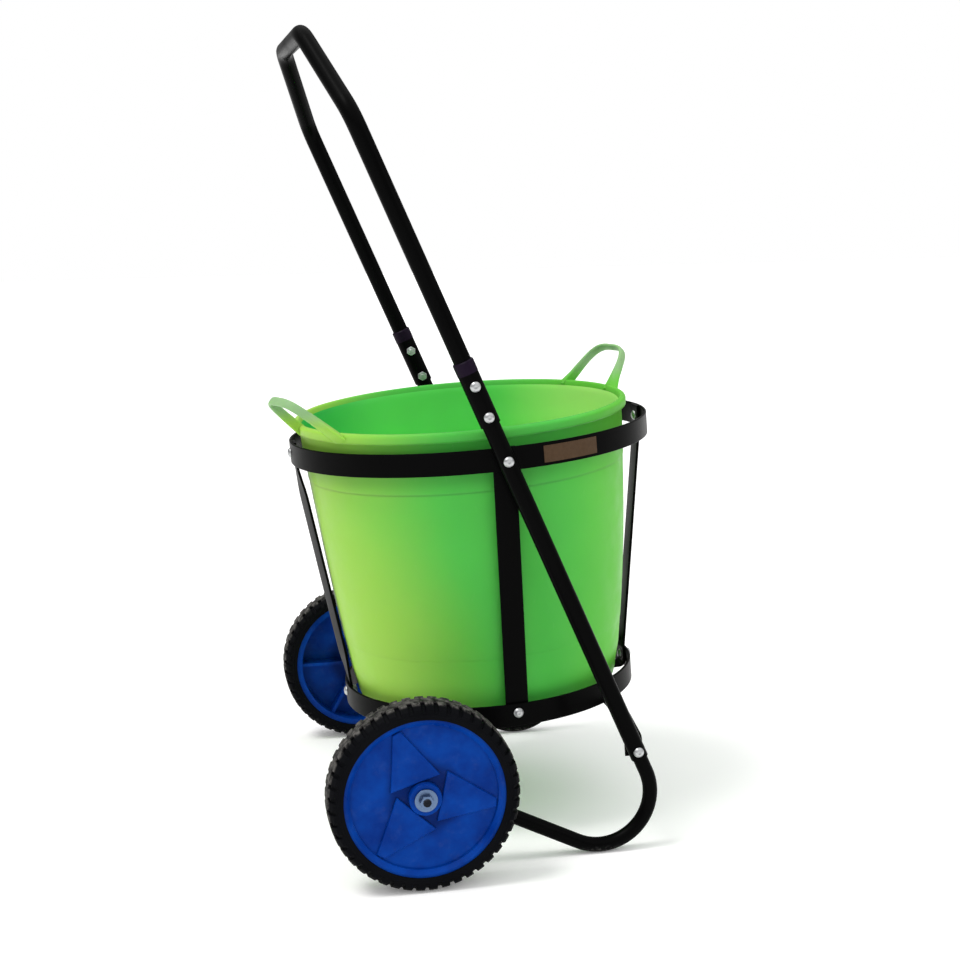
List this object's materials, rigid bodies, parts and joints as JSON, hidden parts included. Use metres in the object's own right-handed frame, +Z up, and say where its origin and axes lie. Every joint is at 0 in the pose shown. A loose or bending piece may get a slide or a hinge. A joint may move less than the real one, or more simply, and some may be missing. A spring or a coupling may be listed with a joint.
{
  "type": "tub trolley",
  "caption": "Two-wheeled hand trolley with a flexible two-handled tub held in a flat-strip basket, a tall leaning pull handle and bent-tube feet.",
  "frame": {"origin": "middle of the footprint of the whole trolley, on the floor it stands on", "axes": "+X forwards, from the pull handle's side to the feet's side; +Y to the left, along the axle; +Z up"},
  "size_m": [0.4494, 0.5908, 0.8824],
  "materials": {
    "frame_black": "gloss black powder coat on steel",
    "ferrule_plastic": "dark purplish-black moulded plastic",
    "axle_steel": "bright drawn steel",
    "zinc_fasteners": "bright zinc plate",
    "label": "plain reddish-brown stuck-on label, blank",
    "wheel_blue": "glossy moulded blue plastic",
    "tyre_black": "solid black rubber with a block tread",
    "tub_green": "soft satin bright green flexible plastic"
  },
  "bodies": {
    "frame": {"handle_tube": "frame_black", "joint_sleeve_left": "frame_black", "joint_sleeve_right": "frame_black", "joint_ferrule_left": "ferrule_plastic", "joint_ferrule_right": "ferrule_plastic", "side_tube_left": "frame_black", "side_tube_right": "frame_black", "foot_loop_left": "frame_black", "foot_loop_right": "frame_black", "axle": "axle_steel", "axle_spacers": "axle_steel", "axle_washers": "zinc_fasteners", "axle_nuts": "zinc_fasteners", "top_hoop": "frame_black", "bottom_ring": "frame_black", "strap_fore_aft": "frame_black", "strap_cross": "frame_black", "base_bar": "frame_black", "hoop_label": "label", "hoop_side_bolts": "zinc_fasteners", "basket_bolts": "zinc_fasteners", "joint_bolts": "zinc_fasteners", "knee_bolts": "zinc_fasteners", "nuts": "zinc_fasteners"},
    "wheel_left": {"wheel_rim_left": "wheel_blue", "tyre_left": "tyre_black"},
    "wheel_right": {"wheel_rim_right": "wheel_blue", "tyre_right": "tyre_black"},
    "tub": {"tub": "tub_green"}
  },
  "joints": [
    {"name": "wheel_left_spin", "type": "hinge", "parent": "frame", "child": "wheel_left", "pos_m": [-0.09711, 0.264, 0.1], "axis": [0, 1, 0], "continuous": true},
    {"name": "wheel_right_spin", "type": "hinge", "parent": "frame", "child": "wheel_right", "pos_m": [-0.09711, -0.264, 0.1], "axis": [0, 1, 0], "continuous": true},
    {"name": "tub_lift", "type": "slide", "parent": "frame", "child": "tub", "axis": [0, 0, 1], "range_m": [0, 0.33]}
  ]
}
